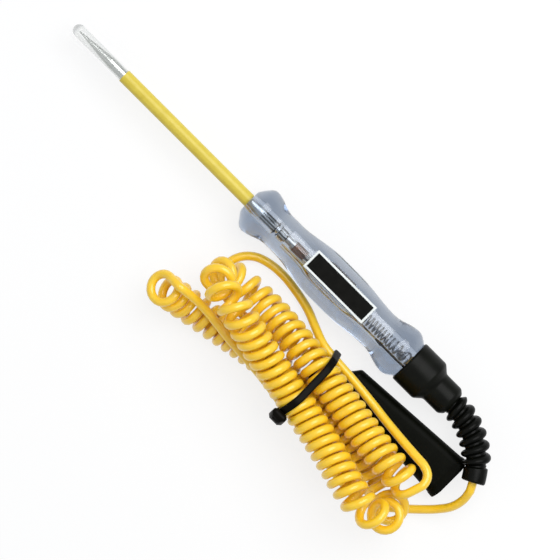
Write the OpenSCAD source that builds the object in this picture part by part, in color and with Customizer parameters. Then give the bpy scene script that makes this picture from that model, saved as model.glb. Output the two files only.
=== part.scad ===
// Circuit tester: a steel probe in a clear lamp handle, a curly earth lead held by a tie,
// and a spring clip in a rubber boot. Millimetres, lying on z = 0.
// +X runs along the probe to its point, +Y lies to the side of the coiled lead.

/* [Probe] */
// Diameter of the steel rod
rod_d = 4.8; // [4.2:0.1:5.4]
// Length of bare rod in front of the sleeve, point included
bare_len = 27.7; // [24:0.1:28.4]
// Length of the conical point
point_len = 19; // [12:0.5:20]
// Diameter of the blunted end of the point
point_end_d = 0.6; // [0.3:0.1:1.5]
// Diameter over the insulating sleeve
sleeve_d = 6.3; // [6.2:0.1:8]
// Length of the insulating sleeve
sleeve_len = 78; // [60:1:100]
// Length of rod that runs free in the front bore of the handle
shank_len = 17.6; // [14:0.2:17.8]
// Length of the splined knob that holds the rod in the handle
knob_len = 5.8; // [4:0.2:6]
// Diameter of the neck at both ends of the knob
neck_d = 2.8; // [2:0.1:3.4]
// Number of splines on the knob and on the shank
splines = 16; // [8:2:24]

/* [Tip cap] */
// Diameter over the clear cap
cap_d = 5.7; // [5.6:0.1:5.8]
// Length of the clear cap
cap_len = 30.6; // [30:0.1:34]
// Thickness of the closed end
cap_end_t = 1.6; // [1:0.1:1.8]
// Radial clearance of the cap on the rod
cap_fit = 0.05; // [0.03:0.01:0.1]

/* [Handle] */
// Length of the clear grip
grip_len = 99; // [96:0.5:110]
// Radius of the front face
nose_r = 5.7; // [5:0.1:7]
// Length of the rounded nose
nose_len = 6.2; // [5:0.1:8]
// Radius of the front flange
front_flange_r = 11.7; // [10.5:0.1:12.2]
// Radius of the front neck
front_neck_r = 8.8; // [8:0.1:9.6]
// Where the front neck starts, from the front face
front_neck_from = 18; // [15:0.5:20]
// Where the front neck ends, from the front face
front_neck_to = 24; // [22:0.5:27]
// Radius of the belly
belly_r = 11.8; // [11.4:0.1:12.2]
// Where the belly starts, from the front face
belly_from = 47.5; // [42:0.5:50]
// Where the belly ends, from the front face
belly_to = 56; // [52:0.5:62]
// Radius of the rear neck
rear_neck_r = 9.7; // [9.2:0.1:10.1]
// Where the rear neck lies, from the front face
rear_neck_at = 80.5; // [76:0.5:84]
// Radius of the rear flange
rear_flange_r = 12.3; // [12.2:0.1:13.5]
// Length from the crest of the rear flange to the rear face
rear_round_len = 5.5; // [4:0.1:7]
// Radius of the rear face
rear_face_r = 9.6; // [9:0.1:10.2]
// Distance of the flats from the axis
flat_dist = 10.2; // [10:0.05:10.6]
// Roll of the flats about the axis
handle_roll = 8; // [0:1:15]
// Diameter of the front bore
front_bore_d = 5.8; // [5.6:0.1:6]
// Diameter of the lamp bore
lamp_bore_d = 6.8; // [6.7:0.1:7.4]

/* [Label] */
// Length of the label plate
label_len = 35.8; // [30:0.2:38]
// Width of the label plate
label_w = 9.8; // [8:0.2:10.2]
// Thickness of the label plate
label_t = 1.1; // [0.9:0.1:1.4]
// Where the label starts, from the front face
label_from = 36.8; // [34:0.2:40]
// Width of the pale border round the dark panel
label_border = 1; // [0.5:0.1:2]
// Thickness of the dark panel
panel_t = 0.2; // [0.1:0.05:0.4]

/* [Lamp] */
// Diameter of the contact barrel behind the probe
barrel_d = 4.8; // [4.2:0.1:5.4]
// Length of the contact barrel
barrel_len = 4.4; // [3:0.2:5]
// Diameter of the lamp's metal caps
lamp_cap_d = 5.2; // [4.6:0.1:5.8]
// Length of the front cap of the lamp
lamp_front_len = 7; // [5:0.2:9]
// Diameter of the lamp's glass tube
lamp_glass_d = 5.8; // [5.4:0.1:6.2]
// Length of the lamp's glass tube
lamp_glass_len = 26; // [22:0.5:27]
// Wall of the lamp's glass tube
lamp_wall = 0.6; // [0.4:0.05:0.8]
// Length of the rear cap of the lamp
lamp_rear_len = 9.4; // [7:0.2:10]

/* [Contact spring] */
// Outer diameter of the spring
spring_d = 6.1; // [5.6:0.1:6.2]
// Diameter of the spring wire
spring_wire_d = 0.8; // [0.6:0.05:1]
// Turns of the spring
spring_turns = 13; // [10:0.5:13.5]

/* [Rear cap] */
// Diameter of the screw stub behind the grip
stub_d = 15; // [14:0.2:16]
// Length of the screw stub
stub_len = 11; // [9:0.5:12]
// Radial clearance of the screw stub in the rear cap
stub_fit = 0.1; // [0.05:0.01:0.1]
// Gap between the grip and the rear cap when screwed home
screw_gap = 0.2; // [0.1:0.05:0.4]
// Radius of the rear cap
rear_cap_r = 10.6; // [10:0.1:11.5]
// Length of the wide part of the rear cap
rear_cap_len = 12.6; // [12:0.2:15]
// Length of the bevel of the rear cap
rear_bevel_len = 3.5; // [2:0.1:5]
// Radius of the narrow part of the rear cap
rear_shoulder_r = 7.5; // [7:0.1:8]
// Length of the narrow part of the rear cap
rear_shoulder_len = 11.2; // [10:0.2:13]
// Diameter of the brass contact's head
contact_d = 5.6; // [5:0.1:6]
// Diameter of the brass contact's stem
stem_d = 3; // [2.4:0.1:3.6]
// Diameter of the crimped terminal on the stem
terminal_d = 4.4; // [4:0.1:5]

/* [Strain relief] */
// Radius over the ribs
rib_r = 6.6; // [5.6:0.1:7]
// Radius of the grooves between the ribs
groove_r = 5; // [4.4:0.1:5.4]
// Radius of the end collar
collar_r = 5.4; // [4.8:0.1:6]
// Number of ribs
ribs = 6; // [4:1:7]
// Radius that the relief bends to
relief_bend_r = 34; // [30:0.5:40]
// Angle that the relief bends through
relief_bend = 62; // [50:1:66]
// Height that the relief gains where it crosses the clip's boot
relief_rise = 4.5; // [3:0.5:6]

/* [Cord] */
// Diameter of the cord
cord_d = 4; // [3.4:0.1:4]
// Diameter of the curls at the middle of the cord
curl_d = 12; // [10:0.5:12]
// Pitch of the close curls
curl_pitch = 4.7; // [4.7:0.02:4.8]
// Pitch of the open curls where the cord folds back
fold_pitch = 9.2; // [9.2:0.1:9.6]

/* [Cable tie] */
// Width of the tie's strap
tie_w = 3.5; // [2.5:0.1:5]
// Thickness of the tie's strap
tie_t = 1.1; // [0.8:0.1:1.2]
// Clearance of the strap round the cord
tie_fit = 0.45; // [0.4:0.05:0.5]
// Length and width of the tie's head
tie_head = 7.4; // [5:0.2:8]
// Height of the tie's head
tie_head_h = 4.4; // [3.5:0.1:5.5]

/* [Clip boot] */
// Width of the boot at its mouth
boot_mouth_w = 22.4; // [21:0.2:23]
// Height of the boot at its mouth
boot_mouth_h = 11; // [10.6:0.2:11.4]
// Width of the boot behind the clip
boot_tail_w = 14; // [13:0.2:15]
// Height of the boot behind the clip
boot_tail_h = 9.4; // [9.2:0.2:10]
// Width and height of the boot's end at the cord
boot_end = 6.4; // [5.8:0.2:7.4]
// Length of the boot from the mouth to the bevel
boot_len = 62; // [60:0.5:64]
// Length of the bevel at the cord end
boot_bevel = 3.6; // [3:0.2:4.5]
// Wall of the boot
boot_wall = 1.3; // [1:0.1:1.4]
// Rounding of the boot's long edges
boot_round = 4; // [2.5:0.1:4.4]

/* [Clip] */
// Length of each jaw in front of the pivot
jaw_len = 22; // [18:0.5:22.5]
// Length of each lever behind the pivot
lever_len = 22; // [18:0.5:22.5]
// Depth of each jaw at the pivot end
jaw_depth = 4.2; // [3.6:0.1:4.6]
// Width of the fixed jaw
jaw_w = 5.8; // [5.4:0.1:6]
// Sheet that the jaws are pressed from
sheet_t = 0.8; // [0.5:0.05:1]
// Radius of the pivot pin
pin_r = 1.2; // [1:0.05:1.4]
// Radial clearance of the moving jaw on the pin
pin_fit = 0.05; // [0.03:0.01:0.1]
// Diameter of the torsion spring wire
clip_wire_d = 0.5; // [0.4:0.05:0.6]

/* [Hidden] */
$fn = 48;

// Small steps that keep cuts clear of the faces that they leave
cut = 1;
// Gap between the sleeve and the cap, and between pieces that only lie beside each other
seat_gap = 0.3;

// The tool lies on its rear flange and is centred on x = 0 without its lead
axis_z = rear_flange_r;
rear_cap_total = rear_cap_len + rear_bevel_len + rear_shoulder_len;
front_reach = sleeve_len + seat_gap + cap_len;
rear_reach = grip_len + screw_gap + rear_cap_total;
x_front = (rear_reach - front_reach) / 2;
x_rear_end = x_front - rear_reach;

// Stations inside the handle, from its front face
barrel_from = shank_len + knob_len + seat_gap;
lamp_from = barrel_from + barrel_len;
glass_from = lamp_from + lamp_front_len;
lamp_rear_from = glass_from + lamp_glass_len;
spring_from = lamp_rear_from + lamp_rear_len;
contact_head_t = 1.6;
contact_recess = 2;
spring_to = grip_len - contact_recess;
rear_flange_at = grip_len - rear_round_len;
terminal_from = grip_len + screw_gap + rear_cap_len + rear_bevel_len;

// Places of the cord runs inside the tie, as [y, z]
tie_x = -67;
run_a = [43.5, 9.8];
run_b = [47.8, 25.8];
run_c = [31.2, 20.8];
tail_in = [53.5, 14.6];
tail_out = [22.6, 14];

// Pitches of the curls: close, where the route starts to bend, where it gets ready to fold,
// where the last curls droop, where it turns into a fold, and in the fold
bend_extra = 0.58;
ready_extra = 1.3;
droop_extra = 2.3;
turn_extra = 3.3;
close = curl_pitch;
soft = curl_pitch + bend_extra;
ready = curl_pitch + ready_extra;
loose = curl_pitch + droop_extra;
turn = curl_pitch + turn_extra;
open = fold_pitch;

// Route of the middle of the curls, as [x, y, z, pitch], from the handle's end of the cord
curl_route = [
    [9.7, 54, 22.4, loose],
    [7.7, 53.7, 19, loose],
    [5.1, 53.2, 16, loose],
    [2.8, 52.8, 14.05, ready],
    [-1.45, 52.1, 11.4, ready],
    [-6.1, 51.3, 9.6, ready],
    [-11, 50.4, 8.6, ready],
    [-17, 49.4, 8.4, soft],
    [-26, 47.8, 8.4, close],
    [-46, 44.8, 9.2, close],
    [tie_x, run_a[0], run_a[1], close],
    [-86, 43.8, 9.4, close],
    [-104, 45.4, 9.2, close],
    [-112, 46.6, 9.2, soft],
    [-118.5, 47.7, 9.4, turn],
    [-125, 48.5, 11, open],
    [-129.7, 50.6, 15.2, open],
    [-131.5, 53.5, 21, open],
    [-129.7, 56.4, 26.8, open],
    [-125, 58.5, 31, open],
    [-118.5, 59.3, 32.6, turn],
    [-112, 58.2, 32, soft],
    [-100, 55, 29.6, close],
    [-84, 51.2, 27, close],
    [tie_x, run_b[0], run_b[1], close],
    [-50, 44.6, 27, soft],
    [-34, 41, 31, soft],
    [-25, 38.8, 34, ready],
    [-18.5, 37, 35, turn],
    [-11.8, 36.2, 33.1, open],
    [-6.8, 34.7, 28.4, open],
    [-5, 32.5, 22, open],
    [-6.8, 30.3, 15.6, open],
    [-11.8, 28.8, 10.9, open],
    [-18.5, 28.2, 9.2, turn],
    [-25, 28, 9.3, soft],
    [-34, 28, 11.2, soft],
    [-46, 28.8, 15.4, soft],
    [-56, 29.8, 18.6, soft],
    [tie_x, run_c[0], run_c[1], close],
    [-86, 34.2, 23.4, close],
    [-104, 37, 26.4, close],
    [-112, 38, 28, soft],
    [-118, 38.4, 28.8, loose],
    [-124, 38.6, 27.8, loose],
    [-128.4, 38.7, 26, loose]
];

// Route of the cord from the strain relief to the first curl
handle_tail_route = [
    [-150.5, 26, 13.5],
    [-149.5, 32, 9.5],
    [-146, 37.5, 5.5],
    [-140.5, 43.4, 3.2],
    [-134, 49.4, 2.4],
    [-127, 55, 2.4],
    [-119, 58.8, 4],
    [-108, 58.8, 8],
    [-97, 57.2, 11],
    [-86, 55.5, 13],
    [-76, 54.2, 14.2],
    [tie_x, tail_in[0], tail_in[1]],
    [-56, 51.6, 17],
    [-46, 50.4, 18.2],
    [-36, 49.6, 18.8],
    [-27, 49, 19],
    [-18, 47.9, 19.2],
    [-10, 47.2, 21.4],
    [-3.5, 47.2, 24.6]
];

// Route of the cord from the last curl to the clip's boot
clip_tail_route = [
    [-131.6, 31.6, 31.6],
    [-130, 29.4, 31],
    [-127, 28, 29.9],
    [-121.5, 27.5, 27.6],
    [-115.5, 27.1, 25],
    [-108, 26.5, 22],
    [-101, 25.8, 19.4],
    [-93, 24.8, 17.2],
    [-85, 24, 16],
    [-76, 23.2, 14.8],
    [tie_x, tail_out[0], tail_out[1]],
    [-59, 21.7, 12.7],
    [-51, 18.8, 8.6],
    [-43, 15.6, 4.4],
    [-34, 13.6, 2.5],
    [-25, 12.6, 2.2],
    [-17, 13.2, 2.2],
    [-10.5, 15.4, 2.2],
    [-6, 19.5, 2.2],
    [-3.8, 25, 2.2],
    [-4.6, 31, 2.2],
    [-9, 35.6, 2.2],
    [-15, 37.6, 2.2],
    [-22, 37.8, 2.2],
    [-32, 36.8, 2.2],
    [-42, 35, 2.2],
    [-51, 32, 2.3],
    [-59, 28.5, 3],
    [-66, 26, 4.2]
];

// Places of the clip: its pivot, and the boot round it
clip_x = -113;
clip_y = 24.4;
clip_z = 5.3;
boot_mouth_x = -141.5;
boot_tail_x = boot_mouth_x + boot_len;
boot_end_x = boot_tail_x + boot_bevel;

// Crimp barrel on the cord inside the boot
crimp_len = 6;
crimp_wall = 0.6;
// Turns of the torsion spring between its two legs
clip_turns = 1.5;
crimp_x = clip_x + lever_len + 1;
crimp_d = cord_d + 2 * crimp_wall;

// Sides and rings of the swept tubes
tube_sides = 8;
curl_sides = 6;
rings_per_curl = 7;
wire_sides = 6;
rings_per_turn = 8;
relief_sides = 12;

// Smooth step from a to b
function ease(a, b, u) = a + (b - a) * (1 - cos(180 * u)) / 2;
function unit(v) = v / norm(v);
// What is left of v across the direction t
function across(v, t) = unit(v - t * (v * t));
function place(v) = [v[0], v[1], v[2]];

// A smooth curve through given points: chord lengths, slopes and a place on one span
function chords(p) = [for (i = [0 : len(p) - 2]) norm(place(p[i + 1]) - place(p[i]))];
function slopes(p, d) = [
    for (i = [0 : len(p) - 1])
        i == 0 ? (p[1] - p[0]) / d[0]
        : i == len(p) - 1 ? (p[i] - p[i - 1]) / d[i - 1]
        : ((p[i + 1] - p[i]) * d[i - 1] / d[i] + (p[i] - p[i - 1]) * d[i] / d[i - 1])
            / (d[i - 1] + d[i])
];
function on_span(p, d, m, i, v) =
    (2 * pow(v, 3) - 3 * pow(v, 2) + 1) * p[i]
    + (pow(v, 3) - 2 * pow(v, 2) + v) * d[i] * m[i]
    + (3 * pow(v, 2) - 2 * pow(v, 3)) * p[i + 1]
    + (pow(v, 3) - pow(v, 2)) * d[i] * m[i + 1];
function span_speed(p, d, m, i, v) =
    (6 * pow(v, 2) - 6 * v) * p[i]
    + (3 * pow(v, 2) - 4 * v + 1) * d[i] * m[i]
    + (6 * v - 6 * pow(v, 2)) * p[i + 1]
    + (3 * pow(v, 2) - 2 * v) * d[i] * m[i + 1];

// Walks the route in equal shares of a curl, and carries a normal along without twist.
// Each step is [place on the route, direction, normal].
function pitch_at(p, i, v) = p[i][3] + (p[i + 1][3] - p[i][3]) * v;
function walk(p, d, m, share, first_normal) = [
    for (
        i = 0,
        v = 0,
        q = span_speed(p, d, m, 0, 0),
        t = unit(place(q)),
        n = across(first_normal, t);
        i < len(p) - 1;
        w = v + pitch_at(p, i, v) * share / norm(place(q)),
        over = w >= 1 && i < len(p) - 2,
        v = over ? (w - 1) * d[i] / d[i + 1] : w,
        i = over ? i + 1 : w >= 1 ? len(p) : i,
        q = i < len(p) ? span_speed(p, d, m, i, v) : q,
        t = unit(place(q)),
        n = across(n, t)
    ) [place(on_span(p, d, m, i, v)), t, n]
];

// Left-hand helix of the given radius and turns round a walked route
function helix(steps, r, turns) = [
    for (k = [0 : len(steps) - 1])
        let (a = -360 * turns * k / (len(steps) - 1))
        steps[k][0] + r * (cos(a) * steps[k][2] + sin(a) * cross(steps[k][1], steps[k][2]))
];

// Directions along a list of points
function headings(p) = [
    for (i = [0 : len(p) - 1])
        unit(p[min(i + 1, len(p) - 1)] - p[max(i - 1, 0)])
];
// Normals carried along a list of points without twist
function normals(t, first) = [
    for (
        i = 0,
        n = across(first, t[0]);
        i < len(t);
        i = i + 1,
        n = i < len(t) ? across(n, t[i]) : n
    ) n
];
// A closed tube with one ring at each point, of its own radius
module tube(points, radii, sides, t, n) {
    rings = [
        for (i = [0 : len(points) - 1], j = [0 : sides - 1])
            let (a = 360 * j / sides, b = cross(t[i], n[i]))
            points[i] + radii[i] * (cos(a) * n[i] + sin(a) * b)
    ];
    last = (len(points) - 1) * sides;
    skin = [
        for (i = [0 : len(points) - 2], j = [0 : sides - 1])
            let (a = i * sides + j, b = i * sides + (j + 1) % sides)
            each [[a, a + sides, b], [b, a + sides, b + sides]]
    ];
    ends = [
        for (j = [1 : sides - 2])
            each [[0, j, j + 1], [last, last + j + 1, last + j]]
    ];
    polyhedron(rings, concat(skin, ends));
}

// Least distance between places on one tube that lie at least half a curl apart along it
function least_gap(p, skip, d) = min([
    for (i = [0 : len(p) - 1 - skip], j = [i + skip : len(p) - 1]) norm(p[i] - p[j])
]) - d;

// Puts a shape on the tool's axis: its z runs back from the given station of the handle
module from_front(s) {
    translate([x_front - s, 0, axis_z])
        rotate([0, -90, 0])
            children();
}

// A round bar between two stations of the handle
module bar(from, to, d) {
    from_front(from)
        cylinder(h = to - from, d = d);
}

// The same for what turns with the flats of the handle
module on_flat() {
    translate([0, 0, axis_z])
        rotate([handle_roll, 0, 0])
            children();
}

// Outline of the rod's neck and rounded knob, as radius and station. The grip is moulded round it
neck_len = 0.6;
knob_round = 1.4;
knob_steps = 4;
knob_arc = [
    for (k = [0 : knob_steps])
        let (a = 90 * k / knob_steps)
        [neck_d / 2 + (rod_d - neck_d) / 2 * sin(a), knob_round * (1 - cos(a))]
];
knob_outline = concat(
    [[neck_d / 2, shank_len]],
    [for (k = [0 : knob_steps]) [knob_arc[k][0], shank_len + neck_len + knob_arc[k][1]]],
    [for (k = [knob_steps : -1 : 0]) [knob_arc[k][0], shank_len + knob_len - knob_arc[k][1]]],
    [[0, shank_len + knob_len]]
);

module probe_rod() {
    spline_d = 0.5;
    spline_from = shank_len / 2;
    spline_z = rod_d / 2 - spline_d / 3;
    point_at = -sleeve_len - bare_len;
    shank_outline = [
        [0, point_at],
        [point_end_d / 2, point_at],
        [rod_d / 2, point_at + point_len],
        [rod_d / 2, shank_len - knob_round]
    ];
    color("gainsboro") {
        difference() {
            from_front(0)
                rotate_extrude()
                    polygon(concat(shank_outline, knob_outline));
            for (k = [0 : splines - 1])
                translate([0, 0, axis_z])
                    rotate([360 * k / splines, 0, 0])
                        translate([x_front - shank_len - knob_len - cut, -spline_d / 2, spline_z])
                            cube([shank_len + knob_len + cut - spline_from, spline_d, spline_d]);
        }
    }
}

module probe_sleeve() {
    color("gold")
        difference() {
            bar(-sleeve_len, 0, sleeve_d);
            bar(-sleeve_len - cut, cut, rod_d);
        }
}

module tip_cap() {
    bore_d = rod_d + 2 * cap_fit;
    open_end = -sleeve_len - seat_gap;
    depth = cap_len - cap_end_t;
    color("whitesmoke")
        difference() {
            union() {
                bar(open_end - cap_len + cap_d / 2, open_end, cap_d);
                translate([x_front - open_end + cap_len - cap_d / 2, 0, axis_z])
                    sphere(d = cap_d);
            }
            bar(open_end - depth, open_end + cut, bore_d);
        }
}

// Outline of the grip: radius at a station
function grip_r(s) =
    s < nose_len ? nose_r + (front_flange_r - nose_r) * sin(90 * s / nose_len)
    : s < front_neck_from
        ? ease(front_flange_r, front_neck_r, (s - nose_len) / (front_neck_from - nose_len))
    : s < front_neck_to ? front_neck_r
    : s < belly_from ? ease(front_neck_r, belly_r, (s - front_neck_to) / (belly_from - front_neck_to))
    : s < belly_to ? belly_r
    : s < rear_neck_at ? ease(belly_r, rear_neck_r, (s - belly_to) / (rear_neck_at - belly_to))
    : s < rear_flange_at
        ? ease(rear_neck_r, rear_flange_r, (s - rear_neck_at) / (rear_flange_at - rear_neck_at))
    : rear_flange_r
        - (rear_flange_r - rear_face_r) * (1 - cos(90 * (s - rear_flange_at) / rear_round_len));

module handle() {
    outline_steps = 6;
    stations = [
        0, nose_len, front_neck_from, front_neck_to, belly_from,
        belly_to, rear_neck_at, rear_flange_at, grip_len
    ];
    outline = [
        for (i = [0 : len(stations) - 2], k = [0 : outline_steps - 1])
            let (s = stations[i] + (stations[i + 1] - stations[i]) * k / outline_steps)
            [grip_r(s), s]
    ];
    front_bore = [
        [0, -cut],
        [front_bore_d / 2, -cut],
        [front_bore_d / 2, shank_len - knob_round]
    ];
    flat_from = front_neck_to;
    flat_run_out = 5;
    flat_to = rear_neck_at + flat_run_out;
    color([0.7, 0.76, 0.84, 0.4])
        difference() {
            union() {
                from_front(0)
                    rotate_extrude($fn = 96)
                        polygon(concat([[0, 0]], outline, [[rear_face_r, grip_len], [0, grip_len]]));
                bar(grip_len - cut, grip_len + stub_len, stub_d);
            }
            for (k = [0 : 5])
                on_flat()
                    rotate([60 * k, 0, 0])
                        translate([x_front - flat_to, -belly_r, flat_dist])
                            cube([flat_to - flat_from, 2 * belly_r, belly_r]);
            from_front(0)
                rotate_extrude()
                    polygon(concat(front_bore, knob_outline));
            bar(barrel_from - seat_gap, grip_len + stub_len + cut, lamp_bore_d);
            label_pocket();
        }
}

// The pocket in the top flat that the label plate sits in
label_mid = x_front - label_from - label_len / 2;
module label_pocket() {
    pocket_len = label_len + seat_gap;
    pocket_w = label_w + seat_gap;
    on_flat()
        translate([label_mid - pocket_len / 2, -pocket_w / 2, flat_dist - label_t])
            cube([pocket_len, pocket_w, belly_r]);
}

module label_plate() {
    color("ivory")
        on_flat()
            translate([label_mid - label_len / 2, -label_w / 2, flat_dist - label_t])
                cube([label_len, label_w, label_t]);
}

module label_panel() {
    panel_len = label_len - 2 * label_border;
    panel_w = label_w - 2 * label_border;
    color("black")
        on_flat()
            translate([label_mid - panel_len / 2, -panel_w / 2, flat_dist])
                cube([panel_len, panel_w, panel_t]);
}

module lamp_barrel() {
    flange_len = 1.2;
    waist_len = barrel_len - flange_len;
    waist_step = 0.6;
    color("silver") {
        bar(barrel_from - seat_gap, barrel_from + waist_len, barrel_d - 2 * waist_step);
        bar(barrel_from + waist_len, lamp_from, barrel_d);
    }
}

module lamp_front_cap() {
    color("sienna")
        bar(lamp_from, glass_from, lamp_cap_d);
}

module lamp_glass() {
    color("lightyellow")
        difference() {
            bar(glass_from, lamp_rear_from, lamp_glass_d);
            bar(glass_from - cut, lamp_rear_from + cut, lamp_glass_d - 2 * lamp_wall);
        }
}

module lamp_filament() {
    wire_d = 0.6;
    bead_d = lamp_glass_d - 4 * lamp_wall;
    bead_len = 2;
    color("dimgray") {
        bar(glass_from, lamp_rear_from, wire_d);
        bar(glass_from, glass_from + bead_len, bead_d);
        bar(lamp_rear_from - bead_len, lamp_rear_from, bead_d);
    }
}

module lamp_rear_cap() {
    tip_len = 2;
    color("darkgoldenrod") {
        bar(lamp_rear_from, spring_from - tip_len, lamp_cap_d);
        from_front(spring_from - tip_len)
            cylinder(h = tip_len, d1 = lamp_cap_d, d2 = spring_d - 4 * spring_wire_d);
    }
}

// Middle line of a wound wire, from a first angle
function wound(len, r, wire_d, turns, first) = [
    for (k = [0 : turns * rings_per_turn])
        let (a = first - 360 * k / rings_per_turn)
        [r * cos(a), r * sin(a), wire_d / 2 + (len - wire_d) * k / (turns * rings_per_turn)]
];

// A wire along given points
module wire(points, wire_d) {
    t = headings(points);
    tube(points, [for (p = points) wire_d / 2], wire_sides, t, normals(t, [0, 0, 1]));
    echo(str("least gap of the wound wire to itself: ",
        least_gap(points, rings_per_turn / 2, wire_d), " mm"));
}

module contact_spring() {
    coil_len = spring_to - spring_from;
    coil_r = (spring_d - spring_wire_d) / 2;
    color("lightsteelblue")
        from_front(spring_from)
            wire(wound(coil_len, coil_r, spring_wire_d, spring_turns, 0), spring_wire_d);
}

module rear_contact() {
    color("goldenrod") {
        bar(spring_to, spring_to + contact_head_t, contact_d);
        bar(spring_to + contact_head_t, terminal_from, stem_d);
    }
}

module rear_terminal() {
    color("peru")
        bar(terminal_from, rear_reach, terminal_d);
}

module rear_cap() {
    cup_depth = stub_len + seat_gap - screw_gap;
    edge = 0.8;
    color([0.12, 0.12, 0.12])
        difference() {
            from_front(grip_len + screw_gap)
                rotate_extrude($fn = 96)
                    polygon([
                        [0, 0],
                        [rear_cap_r - edge, 0],
                        [rear_cap_r, edge],
                        [rear_cap_r, rear_cap_len],
                        [rear_shoulder_r, rear_cap_len + rear_bevel_len],
                        [rear_shoulder_r, rear_cap_total - 3 * edge],
                        [rear_shoulder_r - edge, rear_cap_total - edge],
                        [rear_shoulder_r - 2 * edge, rear_cap_total],
                        [0, rear_cap_total]
                    ]);
            bar(grip_len + screw_gap - cut, grip_len + screw_gap + cup_depth, stub_d + 2 * stub_fit);
            bar(grip_len, rear_reach, stem_d);
            bar(terminal_from, rear_reach + cut, terminal_d);
        }
}

// Middle of the strain relief, from the rear cap to its end collar
relief_len = relief_bend_r * relief_bend * PI / 180;
collar_len = 7;
rib_pitch = (relief_len - collar_len) / ribs;
function relief_at(s) =
    let (a = s / relief_bend_r * 180 / PI)
    [
        x_rear_end - relief_bend_r * sin(a),
        relief_bend_r * (1 - cos(a)),
        axis_z + ease(0, relief_rise, s / relief_len)
    ];
relief_end = relief_at(relief_len);
relief_heading = [-cos(relief_bend), sin(relief_bend), 0];

module strain_relief() {
    groove_share = 0.3;
    rise_share = 0.2;
    fall_share = 0.1;
    collar_lip = 0.4;
    body = [
        for (k = [0 : ribs - 1])
            each [
                [k * rib_pitch, groove_r],
                [(k + groove_share) * rib_pitch, groove_r],
                [(k + groove_share + rise_share) * rib_pitch, rib_r],
                [(k + 1 - fall_share) * rib_pitch, rib_r]
            ]
    ];
    collar = [
        [ribs * rib_pitch, groove_r],
        [ribs * rib_pitch + collar_lip, collar_r],
        [relief_len, collar_r]
    ];
    rows = concat(body, collar);
    points = [for (row = rows) relief_at(row[0])];
    t = [
        for (row = rows)
            let (a = row[0] / relief_bend_r * 180 / PI)
            [-cos(a), sin(a), 0]
    ];
    color([0.1, 0.1, 0.1])
        tube(points, [for (row = rows) row[1]], relief_sides, t, normals(t, [0, 0, 1]));
}

// The curls: one unbroken left-hand helix, with a straight end at each side
curl_chords = chords(curl_route);
curl_slopes = slopes(curl_route, curl_chords);
curl_walk = walk(curl_route, curl_chords, curl_slopes, 1 / rings_per_curl, [0, -1, 0]);
curl_last = len(curl_walk) - 1;
// The last curl is a part one, so that the cord leaves it on the clip's side
last_share = 5 / 7;
curls = round(curl_last / rings_per_curl - last_share) + last_share;
curl_points = helix(curl_walk, curl_d / 2, curls);
function curl_out(k) = unit(curl_points[k] - curl_walk[k][0]);
curl_first_heading = across(curl_points[1] - curl_points[0], curl_out(0));
curl_last_heading = across(curl_points[curl_last] - curl_points[curl_last - 1], curl_out(curl_last));
curl_start = curl_points[0] - curl_first_heading * cord_d;
curl_end = curl_points[curl_last] + curl_last_heading * cord_d;

module cord_curls() {
    points = concat([curl_start], curl_points, [curl_end]);
    inner_t = headings(curl_points);
    t = concat(
        [curl_first_heading, curl_first_heading],
        [for (k = [1 : curl_last - 1]) inner_t[k]],
        [curl_last_heading, curl_last_heading]
    );
    n = concat(
        [curl_out(0)],
        [for (k = [0 : curl_last]) across(curl_out(k), t[k + 1])],
        [curl_out(curl_last)]
    );
    color("gold")
        tube(points, [for (p = points) cord_d / 2], curl_sides, t, n);
    echo(str("curls: ", curls, ", from ", curl_start, " to ", curl_end));
    echo(str("least gap of the curls to themselves: ",
        least_gap(curl_points, ceil(rings_per_curl / 2), cord_d), " mm"));
}

// A free stretch of cord along a route, square to what it meets at both ends
module cord_stretch(points, first_heading, last_heading) {
    t0 = headings(points);
    last = len(points) - 1;
    t = [for (i = [0 : last]) i == 0 ? first_heading : i == last ? last_heading : t0[i]];
    color("gold")
        tube(points, [for (p = points) cord_d / 2], tube_sides, t, normals(t, [0, 0, 1]));
}

module cord_handle_tail() {
    points = concat(
        [relief_end, relief_end + relief_heading * cord_d],
        handle_tail_route,
        [curl_start - curl_first_heading * cord_d, curl_start]
    );
    cord_stretch(points, relief_heading, curl_first_heading);
}

module cord_clip_tail() {
    crimp_end = [crimp_x + sheet_t, clip_y, clip_z];
    points = concat(
        [curl_end, curl_end + curl_last_heading * cord_d / 2],
        clip_tail_route,
        [[boot_end_x + cord_d, clip_y, clip_z], crimp_end]
    );
    cord_stretch(points, curl_last_heading, [-1, 0, 0]);
}

// Outline of what the tie holds, grown by a margin
run_r = (curl_d + cord_d) / 2;
module tie_outline(grow) {
    hull() {
        for (run = [run_a, run_b, run_c])
            translate(run)
                circle(r = run_r + grow);
        for (tail = [tail_in, tail_out])
            translate(tail)
                circle(r = cord_d / 2 + grow);
    }
}

module cable_tie() {
    head_angle = 28;
    color([0.08, 0.08, 0.08]) {
        translate([tie_x - tie_w / 2, 0, 0])
            rotate([90, 0, 90])
                linear_extrude(tie_w)
                    difference() {
                        tie_outline(tie_fit + tie_t);
                        tie_outline(tie_fit);
                    }
        translate([tie_x, run_b[0], run_b[1]])
            rotate([head_angle, 0, 0])
                translate([-tie_head / 2, run_r + tie_fit + tie_t / 2, -tie_head / 2])
                    cube([tie_head, tie_head_h, tie_head]);
    }
}

// One end plate of the boot's hull: four rounded corners
plate_t = 0.2;
module boot_plate(x, w, h, r, low) {
    for (y = [-1, 1], z = [low + r, h - r])
        translate([x, clip_y + y * (w / 2 - r), z])
            rotate([0, 90, 0])
                cylinder(h = plate_t, r = r, $fn = 24);
}

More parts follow.
